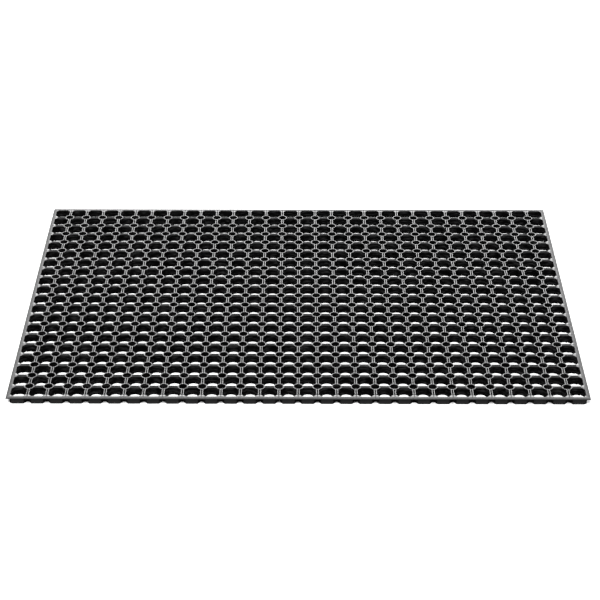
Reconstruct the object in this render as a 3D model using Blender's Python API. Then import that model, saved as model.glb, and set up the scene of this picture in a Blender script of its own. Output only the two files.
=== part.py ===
"""Rubber ring mat for a doorway: 30 by 20 open octagonal cells in one flat moulding.

Metres, +Z up. The origin is the middle of the underside, +X runs along the long side and
+Y from the front edge to the back edge. The moulding is divided into one bar for each row
of cells, and a thin rail along each edge that overhangs the floor, level with the top.
"""

import bmesh
import bpy

# Driving dimensions, in metres.
COLUMNS = 30                # cells along X
ROWS = 20                   # cells along Y
PITCH = 0.0497              # from the middle of one cell to the next
WALL = 0.009                # rubber between two neighbouring cells
THICKNESS = 0.022           # height of the mat off the floor
FLANGE = 0.005              # the border's rails are this thick, and level with the top
CORNER_CUT = 0.0085         # leg of each cell's cut corner
PARTING = 0.0003            # gap between two neighbouring nodes

GRID_X = COLUMNS * PITCH
GRID_Y = ROWS * PITCH
BORDER = WALL / 2           # the outer half of the outermost wall
RAIL = BORDER - PARTING / 2  # what is left of it for an edge rail
OPENING = PITCH - WALL      # width of a cell's opening

RUBBER_COLOUR = (0.012, 0.012, 0.013, 1.0)
RUBBER_ROUGHNESS = 0.5


def clear_objects():
    for old in list(bpy.data.objects):
        bpy.data.objects.remove(old, do_unlink=True)


def rubber(name):
    """Black rubber of one node."""
    material = bpy.data.materials.new(name + "_rubber")
    material.use_nodes = True
    shader = material.node_tree.nodes["Principled BSDF"]
    shader.inputs["Base Color"].default_value = RUBBER_COLOUR
    shader.inputs["Roughness"].default_value = RUBBER_ROUGHNESS
    shader.inputs["Metallic"].default_value = 0.0
    return material


def rectangle(middle, width, depth):
    """Corners of an upright rectangle, anticlockwise."""
    left, right = middle[0] - width / 2, middle[0] + width / 2
    front, back = middle[1] - depth / 2, middle[1] + depth / 2
    return [(left, front), (right, front), (right, back), (left, back)]


def octagon(middle, width, cut):
    """A square with its corners cut off, anticlockwise."""
    half = width / 2
    flat = half - cut
    corners = [
        (-flat, -half), (flat, -half), (half, -flat), (half, flat),
        (flat, half), (-flat, half), (-half, flat), (-half, -flat),
    ]
    return [(middle[0] + x, middle[1] + y) for x, y in corners]


def plate(name, outline, holes, underside=0.0):
    """A flat bar up to the mat's top, with the given outline and straight holes through it."""
    shape = bmesh.new()
    edges = []
    for loop in [outline] + holes:
        ring = [shape.verts.new((x, y, underside)) for x, y in loop]
        edges += [shape.edges.new((ring[i - 1], ring[i])) for i in range(len(ring))]
    bmesh.ops.triangle_fill(shape, edges=edges, use_beauty=True)
    raised = bmesh.ops.extrude_face_region(shape, geom=shape.faces[:])
    top = [part for part in raised["geom"] if isinstance(part, bmesh.types.BMVert)]
    bmesh.ops.translate(shape, verts=top, vec=(0.0, 0.0, THICKNESS - underside))
    bmesh.ops.recalc_face_normals(shape, faces=shape.faces[:])
    mesh = bpy.data.meshes.new(name)
    shape.to_mesh(mesh)
    shape.free()
    made = bpy.data.objects.new(name, mesh)
    made.data.materials.append(rubber(name))
    bpy.context.collection.objects.link(made)
    return made


def ring_row(number):
    """One row of cells, counted from the front edge, from its first half-wall to its last."""
    middle_y = (number - 0.5) * PITCH - GRID_Y / 2
    first_x = PITCH / 2 - GRID_X / 2
    outline = rectangle((0.0, middle_y), GRID_X - PARTING, PITCH - PARTING)
    cells = [
        octagon((first_x + column * PITCH, middle_y), OPENING, CORNER_CUT)
        for column in range(COLUMNS)
    ]
    return plate(f"ring_row_{number:02d}", outline, cells)


def edge_rails():
    """The plain border: two long rails, and two short rails between their ends."""
    across = GRID_Y / 2 + BORDER - RAIL / 2
    along = GRID_X / 2 + BORDER - RAIL / 2
    long_side = GRID_X + 2 * BORDER
    underside = THICKNESS - FLANGE
    for name, side in (("front_rail", -1), ("back_rail", 1)):
        plate(name, rectangle((0.0, side * across), long_side, RAIL), [], underside)
    for name, side in (("left_rail", -1), ("right_rail", 1)):
        plate(name, rectangle((side * along, 0.0), RAIL, GRID_Y - PARTING), [], underside)


def main():
    clear_objects()
    for number in range(1, ROWS + 1):
        ring_row(number)
    edge_rails()


main()
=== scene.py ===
"""Black rubber ring mat on a plain white floor.

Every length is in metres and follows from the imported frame: the pitch of the cells is worked
out from a row's box, and the mouldings replace the plain bars one for one.
"""

import math
from typing import NamedTuple

import bmesh
import bpy
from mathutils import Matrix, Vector


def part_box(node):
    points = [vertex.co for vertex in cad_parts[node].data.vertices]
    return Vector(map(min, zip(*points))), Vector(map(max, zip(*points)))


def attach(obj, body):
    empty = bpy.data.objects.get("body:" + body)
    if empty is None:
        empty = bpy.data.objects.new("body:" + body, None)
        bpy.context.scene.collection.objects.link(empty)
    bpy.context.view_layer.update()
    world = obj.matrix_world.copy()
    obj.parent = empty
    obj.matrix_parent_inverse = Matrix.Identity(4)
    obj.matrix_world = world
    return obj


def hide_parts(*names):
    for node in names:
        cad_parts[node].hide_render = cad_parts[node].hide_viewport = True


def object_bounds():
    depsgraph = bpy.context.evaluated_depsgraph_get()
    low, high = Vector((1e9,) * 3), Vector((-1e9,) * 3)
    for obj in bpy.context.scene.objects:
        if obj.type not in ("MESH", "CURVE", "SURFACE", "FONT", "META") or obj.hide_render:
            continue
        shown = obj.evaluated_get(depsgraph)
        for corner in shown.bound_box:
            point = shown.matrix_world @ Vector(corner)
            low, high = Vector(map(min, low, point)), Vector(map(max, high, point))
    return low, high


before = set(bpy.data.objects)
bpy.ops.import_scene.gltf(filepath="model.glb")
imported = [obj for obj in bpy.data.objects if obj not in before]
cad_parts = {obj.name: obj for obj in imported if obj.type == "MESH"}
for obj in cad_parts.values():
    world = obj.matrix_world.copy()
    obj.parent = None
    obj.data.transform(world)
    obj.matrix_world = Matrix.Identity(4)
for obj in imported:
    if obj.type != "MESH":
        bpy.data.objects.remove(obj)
cad_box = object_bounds()

# What the frame says.
ROWS = sum(1 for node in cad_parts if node.startswith("ring_row_"))
ROW_LOW, ROW_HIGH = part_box("ring_row_01")
COLUMNS = round((ROW_HIGH[0] - ROW_LOW[0]) / (ROW_HIGH[1] - ROW_LOW[1]))
RAIL_LOW, RAIL_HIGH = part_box("front_rail")
THICKNESS = RAIL_HIGH[2]
FLANGE = RAIL_HIGH[2] - RAIL_LOW[2]
BORDER = (cad_box[1][0] - cad_box[0][0] - (ROW_HIGH[0] - ROW_LOW[0])) / 2
PARTING = 0.0003
PITCH = (ROW_HIGH[0] - ROW_LOW[0] + PARTING) / COLUMNS
GRID_X = COLUMNS * PITCH
GRID_Y = ROWS * PITCH

# Proportions of a cell, in pitches.
HALF_WALL = 0.074           # half of a wall between left and right neighbours
HALF_BAR = 0.076            # half of a wall between front and back neighbours
BORDER_WALL = 0.110         # from the outermost grid line to the cells beside it
SMALL_HOLE = 0.222          # radius of the round hole at a crossing
RING = 0.264                # radius at which a crossing's ring meets the cells
RING_FOOT = 0.340           # the same radius at the floor, where the posts are thicker
CHAMFER = 0.15              # leg of the fillet where a wall meets the border
FOOT_FACE = 0.452           # outer face of the border's feet, from the middle of a cell
NOTCH_REACH = 0.25          # the notch between two feet ends this far inside the grid's edge

# Details of the moulding, in metres.
LIP_ROUND = 0.0005          # rounding of a cell's top rim
HOLE_ROUND = 0.0004         # rounding of a small hole's top rim
GROOVE_HALF = 0.0020        # half the width of the groove between two lips
GROOVE_DEPTH = 0.0035
GROOVE_SHOULDER = (0.6, 0.85)   # where its side ends, as shares of the half width and depth
BAR_SINK = 0.0004           # the bars between front and back neighbours stand this much lower
BORDER_SINK = 0.0003        # and so does the plain border
RAIL_FALL = 0.0003          # its top falls by this much more to its outer edge
FLANGE_EDGE = 0.0032        # thickness of the border's overhang at its outer edge
UNDER_SLOPE = 0.4           # its underside falls by this much a metre towards the feet
UNDER_DROP = 0.0012         # and by no more than this past the edge of the grid
EDGE_ROUND = 0.0012         # rounding along the outside of the border
SEAM = 0.00001              # rows stand this far from their common plane
WELD = 0.000005             # points of neighbouring cells closer than this become one
SPECK = 0.000001            # edges shorter than this are dropped
BEVEL_SHARE = 0.29          # where the middle point of a rounding stands, as a share of it
CREASE = math.radians(62)   # edges sharper than this stay crisp

# Which faces have the second material, the polished one: the tops and their roundings.
LIP = 1
LIP_STEPS = (1, 2, 3, 4)
RAIL_LIP_STEPS = (1, 2, 3)

# Where a wall's points stand, as (step along the cell's outline, step along its opening), in
# pitches from the middle of the wall. The rest of each side belongs to its corners.
FLAT_STEPS = [(0.0, 0.0), (0.12, 0.11), (0.19, 0.175), (0.24, 0.22)]
GROOVE_SHARES = [1.0, 1.0, 1.0, 0.0]
FOOT_SQUEEZE = 0.75         # a wall's straight stretch is this much shorter at the floor
DRAFT = 0.028               # every wall's face leans in by this much there, in pitches
BAR_BULGE = 0.048           # and a bar's ends by this much more
CORNER_PARTS = 6
ON_EDGE = 0.4999            # a point this far from the middle of a cell is on its outline

# Outer face of the feet round a border corner, in pitches from the middle of the cell: where
# an inner wall runs into the border there is a notch, and the mat's own corners are rounded.
NOTCH_CORNER = [
    (0.500, 0.250), (0.450, 0.250), (0.425, 0.285), (0.390, 0.330),
    (0.352, 0.380), (0.315, 0.430), (0.290, FOOT_FACE),
]
OUTER_CORNER = [
    (FOOT_FACE, 0.250), (0.445, 0.300), (0.425, 0.350), (0.392, 0.392),
    (0.350, 0.425), (0.300, 0.445), (0.250, FOOT_FACE),
]

# Where the rubber looks different. Depths are metres below the top, insets are pitches inside
# the grid's edge, and greys are linear.
# Scuffs and painted sheen: the top edges are painted lighter, partly for real wear and partly as a
# painted highlight, fading out between these depths.
SCUFF_AND_SHEEN_FADE = (0.0007, 0.0001)
# Painted light: the walls are painted lighter towards the top, fading out between these depths,
# along the bars only.
TOP_LIGHT_FADE = (0.0040, 0.0003)
TOP_LIGHT_REACH = (0.20, 0.30)   # none on the small holes: it starts this far from them, in pitches
FEET_INSET = 0.08           # the outer faces of the feet start here
BORDER_INSET = 0.13         # the border starts here
RIM_INSET = -0.05           # and the outermost strip of its overhang here
MASK_BLUR = 0.01            # width of the change from one to the other
BASE_GREYS = (0.0004, 0.0014)
STREAK_GREY = 0.015
# Painted light: the outermost band, mainly the feet's outer faces, is painted this much lighter
# than the shaded hollows.
FEET_PAINTED_LIGHT_GREY = 0.012
BORDER_DULLING = 0.28       # this much is added to the roughness of the border
RIM_DULLING = 0.2           # and this much more to that of its outermost strip

# The camera, in pitches from the middle of the mat's top, and its roll in radians.
EYE = Vector((0.09, -80.62, 50.02))
AIM = Vector((0.0845, -0.504, 0.0))
ROLL = 0.0017
LENS = 100.57               # mm, on a sensor 36 mm wide


class Place(NamedTuple):
    """A point of a cell's outline and the points that belong to it, from the cell's middle."""

    edge: tuple         # on the outline
    rim: tuple          # on the opening
    foot: tuple         # of the outline, at the floor
    low_rim: tuple      # of the opening, at the floor
    groove: float       # share of the groove's depth
    sink: float         # how far the top is sunk, in metres
    on_hole: bool       # the outline runs along a small round hole here


def moved(place, move):
    """The same place, with its four points moved."""
    edge, rim, foot, low_rim = (move(point) for point in place[:4])
    return place._replace(edge=edge, rim=rim, foot=foot, low_rim=low_rim)


def swapped(point):
    """A point with its two coordinates exchanged."""
    return point[1], point[0]


def turned(point, quarter):
    """A point turned by that many quarter turns about the cell's middle."""
    x, y = point
    for _ in range(quarter % 4):
        x, y = -y, x
    return x, y


def half_wall(quarter, border_sides):
    """From the cell's outline to its opening on that side: 0 right, 1 back, 2 left, 3 front."""
    if quarter in border_sides:
        return BORDER_WALL
    return HALF_WALL if quarter % 2 == 0 else HALF_BAR


def bar_bulge(along):
    """How far a bar's face stands out at the floor, along from the middle of the cell."""
    return BAR_BULGE * (along / FLAT_STEPS[-1][1]) ** 2


def wall_places(half, on_border):
    """The wall to the right of the cell, from its middle to where the next corner starts."""
    is_bar = half == HALF_BAR
    places = []
    for (outer, inner), groove in zip(FLAT_STEPS, GROOVE_SHARES):
        bulge = bar_bulge(inner) if is_bar else 0.0
        wall_sink = BAR_SINK * groove if is_bar else 0.0
        place = Place(
            edge=(0.5, outer),
            rim=(0.5 - half, inner),
            foot=(FOOT_FACE if on_border else 0.5, outer),
            low_rim=(0.5 - half - DRAFT - bulge, inner * FOOT_SQUEEZE),
            groove=0.0 if on_border else groove,
            sink=BORDER_SINK if on_border else wall_sink,
            on_hole=False,
        )
        places.append(place)
    return places


def on_arc(radius, here, after, share):
    """A point on the arc round a crossing that runs from one wall's face to the other's."""
    start = math.asin(here / radius)
    stop = math.pi / 2 - math.asin(after / radius)
    angle = start + share * (stop - start)
    return 0.5 - radius * math.sin(angle), 0.5 - radius * math.cos(angle)


def crossing_corner(here, after):
    """The places of an inner corner: arcs round the small hole."""
    low_here = here + DRAFT + (BAR_BULGE if here == HALF_BAR else 0.0)
    low_after = after + DRAFT + (BAR_BULGE if after == HALF_BAR else 0.0)
    places = []
    for part in range(CORNER_PARTS + 1):
        share = part / CORNER_PARTS
        edge = on_arc(SMALL_HOLE, 0.0, 0.0, share)
        rim = on_arc(RING, here, after, share)
        low_rim = on_arc(RING_FOOT, low_here, low_after, share)
        places.append(Place(edge, rim, edge, low_rim, groove=0.0, sink=0.0, on_hole=True))
    return places


def border_corner(here, after, feet):
    """The places of a corner on the border: a straight fillet."""
    places = []
    for part, foot in enumerate(feet):
        share = part / CORNER_PARTS
        along = min(share * 2, 1.0)
        back = max(share * 2 - 1.0, 0.0)
        edge = (0.5 - NOTCH_REACH * back, 0.5 - NOTCH_REACH * (1 - along))
        rim = (0.5 - here - CHAMFER * share, 0.5 - after - CHAMFER * (1 - share))
        low_rim = (rim[0] - DRAFT, rim[1] - DRAFT)
        place = Place(edge, rim, foot, low_rim, groove=0.0, sink=BORDER_SINK, on_hole=False)
        places.append(place)
    return places


def corner_places(here, after, here_border, after_border):
    """The corner between the cell's right wall and its back wall."""
    if here_border and after_border:
        return border_corner(here, after, OUTER_CORNER)
    if after_border:
        return border_corner(here, after, NOTCH_CORNER)
    if here_border:
        return border_corner(here, after, [swapped(foot) for foot in reversed(NOTCH_CORNER)])
    return crossing_corner(here, after)


def cell_places(border_sides):
    """The places all round the cell, anticlockwise.

    Each quarter is made as if its wall were the right one, and is then turned into place.
    """
    places = []
    for quarter in range(4):
        after_quarter = (quarter + 1) % 4
        here = half_wall(quarter, border_sides)
        after = half_wall(after_quarter, border_sides)
        here_border = quarter in border_sides
        after_border = after_quarter in border_sides
        side = wall_places(here, here_border)
        side += corner_places(here, after, here_border, after_border)
        rest = wall_places(after, after_border)[1:]
        side += [moved(place, swapped) for place in reversed(rest)]
        places += [moved(place, lambda point: turned(point, quarter)) for place in side]
    return places


def add_column(shape, centre, place):
    """Adds a place's vertices: up the cell's wall, over the lip and down the outline."""
    edge, rim, foot, low_rim = (centre + Vector((*point, 0.0)) * PITCH for point in place[:4])
    out = (edge - rim).normalized()
    if place.on_hole:
        width, depth = HOLE_ROUND, HOLE_ROUND
        shoulder_width, shoulder_depth = BEVEL_SHARE, BEVEL_SHARE
    else:
        width, depth = GROOVE_HALF, GROOVE_DEPTH * place.groove
        shoulder_width, shoulder_depth = GROOVE_SHOULDER
    top = THICKNESS - place.sink
    under_flange = THICKNESS - FLANGE
    under_foot = under_flange - min((edge - foot).length * UNDER_SLOPE, UNDER_DROP)
    column = [
        (low_rim, 0.0),
        (rim, top - LIP_ROUND),
        (rim + out * LIP_ROUND * BEVEL_SHARE, top - LIP_ROUND * BEVEL_SHARE),
        (rim + out * LIP_ROUND, top),
        (edge - out * width, top),
        (edge - out * width * shoulder_width, top - depth * shoulder_depth),
        (edge, top - depth),
        (edge, under_flange),
        (foot, under_foot),
        (foot, 0.0),
    ]
    return [shape.verts.new((point.x, point.y, height)) for point, height in column]


def add_cell(shape, middle, border_sides, open_sides):
    """Adds one cell's rubber. open_sides join the next cell of the same row."""
    centre = Vector(middle)
    places = cell_places(border_sides)
    columns = [add_column(shape, centre, place) for place in places]
    for k, here in enumerate(places):
        after = places[(k + 1) % len(places)]
        corners = list(zip(columns[k], columns[(k + 1) % len(places)]))
        is_polished = max(here.sink, after.sink) <= BORDER_SINK     # all but the sunk bars
        for step, (lower, upper) in enumerate(zip(corners[:6], corners[1:7])):
            face = quad(shape, lower, upper)
            if is_polished and step in LIP_STEPS:
                face.material_index = LIP
        has_overhang = here.edge != here.foot or after.edge != after.foot
        if has_overhang:
            quad(shape, corners[7], corners[8])
        if not joins_next(here.edge, after.edge, open_sides):
            quad(shape, corners[6], corners[7])
        if not joins_next(here.foot, after.foot, open_sides):
            quad(shape, corners[8], corners[9])
        quad(shape, corners[9], corners[0])


def quad(shape, first, second):
    return shape.faces.new((first[0], first[1], second[1], second[0]))


def joins_next(first, second, open_sides):
    """True where the edge between two outline points is shared with the next cell."""
    for quarter in open_sides:
        if all(turned(point, (4 - quarter) % 4)[0] > ON_EDGE for point in (first, second)):
            return True
    return False


def finished(name, shape, materials):
    """Makes the piece's object from its mesh, with smooth roundings and crisp corners."""
    bmesh.ops.remove_doubles(shape, verts=shape.verts[:], dist=WELD)
    bmesh.ops.dissolve_degenerate(shape, edges=shape.edges[:], dist=SPECK)
    bmesh.ops.recalc_face_normals(shape, faces=shape.faces[:])
    mesh = bpy.data.meshes.new(name)
    shape.to_mesh(mesh)
    shape.free()
    mesh.shade_smooth()
    mesh.set_sharp_from_angle(angle=CREASE)
    piece = bpy.data.objects.new(name, mesh)
    bpy.context.collection.objects.link(piece)
    for material in materials:
        mesh.materials.append(material)
    return piece


def moulded_row(number, materials):
    """One row of cells, with its lips, grooves and halves of the small round holes."""
    shape = bmesh.new()
    middle_y = (number - 0.5) * PITCH - GRID_Y / 2
    for column in range(COLUMNS):
        middle_x = (column + 0.5) * PITCH - GRID_X / 2
        border = set()
        if column == COLUMNS - 1:
            border.add(0)
        if number == ROWS:
            border.add(1)
        if column == 0:
            border.add(2)
        if number == 1:
            border.add(3)
        joined = {0, 2} - border
        add_cell(shape, (middle_x, middle_y, 0.0), border, joined)
    for vert in shape.verts:
        inward = 1 if vert.co.y < middle_y else -1
        if abs(abs(vert.co.y - middle_y) - PITCH / 2) < SEAM:
            vert.co.y += inward * SEAM
    return finished(f"moulded_row_{number:02d}", shape, materials)


def rail_section():
    """Points of a rail's cross-section, as (distance out from the cells, height)."""
    top = THICKNESS - BORDER_SINK
    outer_top = top - RAIL_FALL
    low = THICKNESS - FLANGE_EDGE
    low_round = EDGE_ROUND / 2
    return [
        (SEAM, top),
        (BORDER - EDGE_ROUND, outer_top),
        (BORDER - EDGE_ROUND * BEVEL_SHARE, outer_top - EDGE_ROUND * BEVEL_SHARE),
        (BORDER, outer_top - EDGE_ROUND),
        (BORDER, low + low_round),
        (BORDER - low_round * BEVEL_SHARE, low + low_round * BEVEL_SHARE),
        (BORDER - low_round, low),
        (SEAM, THICKNESS - FLANGE),
    ]


def moulded_rail(name, length, away, quarter, materials):
    """A border rail, mitred at both ends. away is how far its inner face is from the middle."""
    shape = bmesh.new()
    rings = []
    for end in (-1, 1):
        ring = []
        for out, height in rail_section():
            x, y = turned((away + out, end * (length / 2 + out)), quarter)
            ring.append(shape.verts.new((x, y, height)))
        rings.append(ring)
    for k in range(len(rings[0])):
        face = quad(shape, (rings[0][k - 1], rings[0][k]), (rings[1][k - 1], rings[1][k]))
        if k in RAIL_LIP_STEPS:
            face.material_index = LIP
    for ring in rings:
        shape.faces.new(ring)
    return finished(name, shape, materials)


def cool_grey(level):
    """A linear grey with a trace of blue."""
    return level, level, level * 1.02, 1.0


class Shader:
    """A new material's node tree, with a method for each kind of node that it needs."""

    def __init__(self, name):
        self.material = bpy.data.materials.new(name)
        self.material.use_nodes = True
        self.tree = self.material.node_tree
        self.surface = self.tree.nodes["Principled BSDF"]
        self.place = self.tree.nodes.new("ShaderNodeTexCoord").outputs["Object"]
        split = self.tree.nodes.new("ShaderNodeSeparateXYZ")
        self.link(self.place, split.inputs["Vector"])
        self.axis = split.outputs

    def link(self, value, socket):
        """Feeds a number, a colour or another node's output into a socket."""
        if isinstance(value, (float, tuple)):
            socket.default_value = value
        else:
            self.tree.links.new(value, socket)

    def noise(self, scale, detail, roughness=0.55, flatten=1.0):
        squash = self.tree.nodes.new("ShaderNodeMapping")
        squash.inputs["Scale"].default_value = (1.0, 1.0, flatten)
        self.link(self.place, squash.inputs["Vector"])
        made = self.tree.nodes.new("ShaderNodeTexNoise")
        made.inputs["Scale"].default_value = scale
        made.inputs["Detail"].default_value = detail
        made.inputs["Roughness"].default_value = roughness
        self.link(squash.outputs["Vector"], made.inputs["Vector"])
        return made.outputs["Fac"]

    def mapped(self, value, low, high, to_low=0.0, to_high=1.0):
        made = self.tree.nodes.new("ShaderNodeMapRange")
        made.inputs["From Min"].default_value = low
        made.inputs["From Max"].default_value = high
        made.inputs["To Min"].default_value = to_low
        made.inputs["To Max"].default_value = to_high
        self.link(value, made.inputs["Value"])
        return made.outputs["Result"]

    def math(self, operation, first, second=0.0):
        made = self.tree.nodes.new("ShaderNodeMath")
        made.operation = operation
        self.link(first, made.inputs[0])
        self.link(second, made.inputs[1])
        return made.outputs["Value"]

    def blended(self, under, level, amount):
        """The colour or grey under, with that much of a plain grey over it."""
        made = self.tree.nodes.new("ShaderNodeMix")
        made.data_type = "RGBA"
        made.inputs["B"].default_value = cool_grey(level)
        self.link(cool_grey(under) if isinstance(under, float) else under, made.inputs["A"])
        self.link(amount, made.inputs["Factor"])
        return made.outputs["Result"]

    def near_top(self, fade):
        """1 at the top, fading out between two depths below it."""
        deep, shallow = fade
        return self.mapped(self.axis["Z"], THICKNESS - deep, THICKNESS - shallow)

    def further_out(self, inset):
        """1 further out than that inset, else 0."""
        sides = []
        for axis, size in (("X", GRID_X), ("Y", GRID_Y)):
            start = size / 2 - inset * PITCH
            away = self.math("ABSOLUTE", self.axis[axis])
            sides.append(self.mapped(away, start, start + MASK_BLUR * PITCH))
        return self.math("MAXIMUM", *sides)

    def between_rings(self):
        """1 along the middle of the bars and 0 round the small holes."""
        from_ring = self.math("PINGPONG", self.math("DIVIDE", self.axis["X"], PITCH), 0.5)
        return self.mapped(from_ring, *TOP_LIGHT_REACH)


def rubber_material(name, gloss, worn_and_sheen_grey, top_light_grey, roughness):
    """Black rubber: fine moulded grain, faint drag marks, walls painted lighter near the top as
    painted light, and top edges lighter partly from scuffs and partly as a painted sheen.
    """
    shader = Shader(name)
    patches = shader.noise(18.0, 4.0)
    specks = shader.noise(420.0, 3.0, roughness=0.7)
    grain = shader.noise(1500.0, 2.0)
    streaks = shader.mapped(shader.noise(45.0, 2.0, roughness=0.6, flatten=6.0), 0.50, 0.72)

    speckled = shader.mapped(specks, 0.35, 0.70, 0.45, 1.0)
    wear_and_sheen_pattern = shader.math("MULTIPLY", speckled, shader.mapped(patches, 0.35, 0.65, 0.7, 1.0))
    # Scuffs and a painted sheen on the top edges and the sunk bar tops.
    scuffs_and_sheen = shader.math("MULTIPLY", shader.near_top(SCUFF_AND_SHEEN_FADE), wear_and_sheen_pattern)
    # Painted light: walls lighter near the top, along the bars only.
    top_light_zone = shader.math("MULTIPLY", shader.near_top(TOP_LIGHT_FADE), shader.between_rings())
    painted_top_light = shader.math("MULTIPLY", top_light_zone, shader.mapped(streaks, 0.0, 1.0, 0.6, 1.0))

    dark, light = BASE_GREYS
    colour = shader.blended(dark, light, shader.mapped(patches, 0.35, 0.65))
    colour = shader.blended(colour, STREAK_GREY, streaks)
    # Painted light near the top of the walls.
    colour = shader.blended(colour, top_light_grey, painted_top_light)
    # Painted light on the outer faces of the feet.
    colour = shader.blended(colour, FEET_PAINTED_LIGHT_GREY, shader.further_out(FEET_INSET))
    # Painted highlight, partly real scuffing, on the tops.
    colour = shader.blended(colour, worn_and_sheen_grey, scuffs_and_sheen)
    shader.link(colour, shader.surface.inputs["Base Color"])

    rough = shader.mapped(specks, 0.3, 0.7, *roughness)
    for inset, dulling in ((BORDER_INSET, BORDER_DULLING), (RIM_INSET, RIM_DULLING)):
        more = shader.math("MULTIPLY", shader.further_out(inset), dulling)
        rough = shader.math("ADD", rough, more)
    shader.link(rough, shader.surface.inputs["Roughness"])
    shader.surface.inputs["Specular IOR Level"].default_value = gloss

    bump = shader.tree.nodes.new("ShaderNodeBump")
    bump.inputs["Strength"].default_value = 0.35
    bump.inputs["Distance"].default_value = 0.00012
    shader.link(grain, bump.inputs["Height"])
    shader.link(bump.outputs["Normal"], shader.surface.inputs["Normal"])
    return shader.material


def floor():
    """A plain white studio floor just under the mat, running far past it."""
    size = 30.0
    gap = 0.0002
    mesh = bpy.data.meshes.new("floor")
    corners = [(-size, -size, 0), (size, -size, 0), (size, size, 0), (-size, size, 0)]
    mesh.from_pydata(corners, [], [(0, 1, 2, 3)])
    ground = bpy.data.objects.new("floor", mesh)
    ground.location.z = -gap
    bpy.context.collection.objects.link(ground)
    material = bpy.data.materials.new("white_floor")
    material.use_nodes = True
    shader = material.node_tree.nodes["Principled BSDF"]
    shader.inputs["Base Color"].default_value = (0.92, 0.92, 0.92, 1.0)
    shader.inputs["Roughness"].default_value = 0.9
    shader.inputs["Specular IOR Level"].default_value = 0.1
    mesh.materials.append(material)


def soft_light(name, place, size, watts):
    """A rectangular studio light at place, aimed at the middle of the mat."""
    light = bpy.data.lights.new(name, "AREA")
    light.shape = "RECTANGLE"
    light.size, light.size_y = size
    light.energy = watts
    lamp = bpy.data.objects.new(name, light)
    lamp.location = place
    lamp.rotation_euler = (-Vector(place)).to_track_quat("-Z", "Y").to_euler()
    bpy.context.collection.objects.link(lamp)


def studio():
    """A broad panel behind, which the tops reflect, and a soft key high up in front."""
    world = bpy.data.worlds.new("studio")
    bpy.context.scene.world = world
    world.use_nodes = True
    background = world.node_tree.nodes["Background"]
    background.inputs["Color"].default_value = (1.0, 1.0, 1.0, 1.0)
    background.inputs["Strength"].default_value = 0.6
    soft_light("back_panel", place=(0.2, 4.6, 2.75), size=(6.0, 3.0), watts=650.0)
    soft_light("front_key", place=(-0.8, -4.4, 6.3), size=(2.8, 2.8), watts=900.0)
    bpy.context.scene.view_settings.view_transform = "Standard"


def camera():
    """Stands in front of the mat, looking down at it through a long lens."""
    data = bpy.data.cameras.new("camera")
    data.sensor_width = 36.0
    data.lens = LENS
    data.clip_end = 100.0
    made = bpy.data.objects.new("camera", data)
    made.location = EYE * PITCH + Vector((0.0, 0.0, THICKNESS))
    made.rotation_euler = (AIM - EYE).to_track_quat("-Z", "Y").to_euler()
    made.rotation_euler.rotate_axis("Z", ROLL)
    bpy.context.collection.objects.link(made)
    bpy.context.scene.camera = made


def mat():
    """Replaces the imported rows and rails, one for one, by moulded ones."""
    rubber = (
        rubber_material(
            "matt_rubber", gloss=0.01, worn_and_sheen_grey=0.11, top_light_grey=0.040, roughness=(0.45, 0.60)
        ),
        rubber_material(
            "polished_rubber", gloss=0.5, worn_and_sheen_grey=0.045, top_light_grey=0.015, roughness=(0.28, 0.42)
        ),
    )
    made = []
    for number in range(1, ROWS + 1):
        made.append((moulded_row(number, rubber), f"ring_row_{number:02d}"))
    for node, length, away, quarter in (
        ("right_rail", GRID_Y, GRID_X / 2, 0),
        ("back_rail", GRID_X, GRID_Y / 2, 1),
        ("left_rail", GRID_Y, GRID_X / 2, 2),
        ("front_rail", GRID_X, GRID_Y / 2, 3),
    ):
        made.append((moulded_rail("moulded_" + node, length, away, quarter, rubber), node))
    for piece, node in made:
        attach(piece, "root")
        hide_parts(node)


camera()
mat()
floor()
studio()
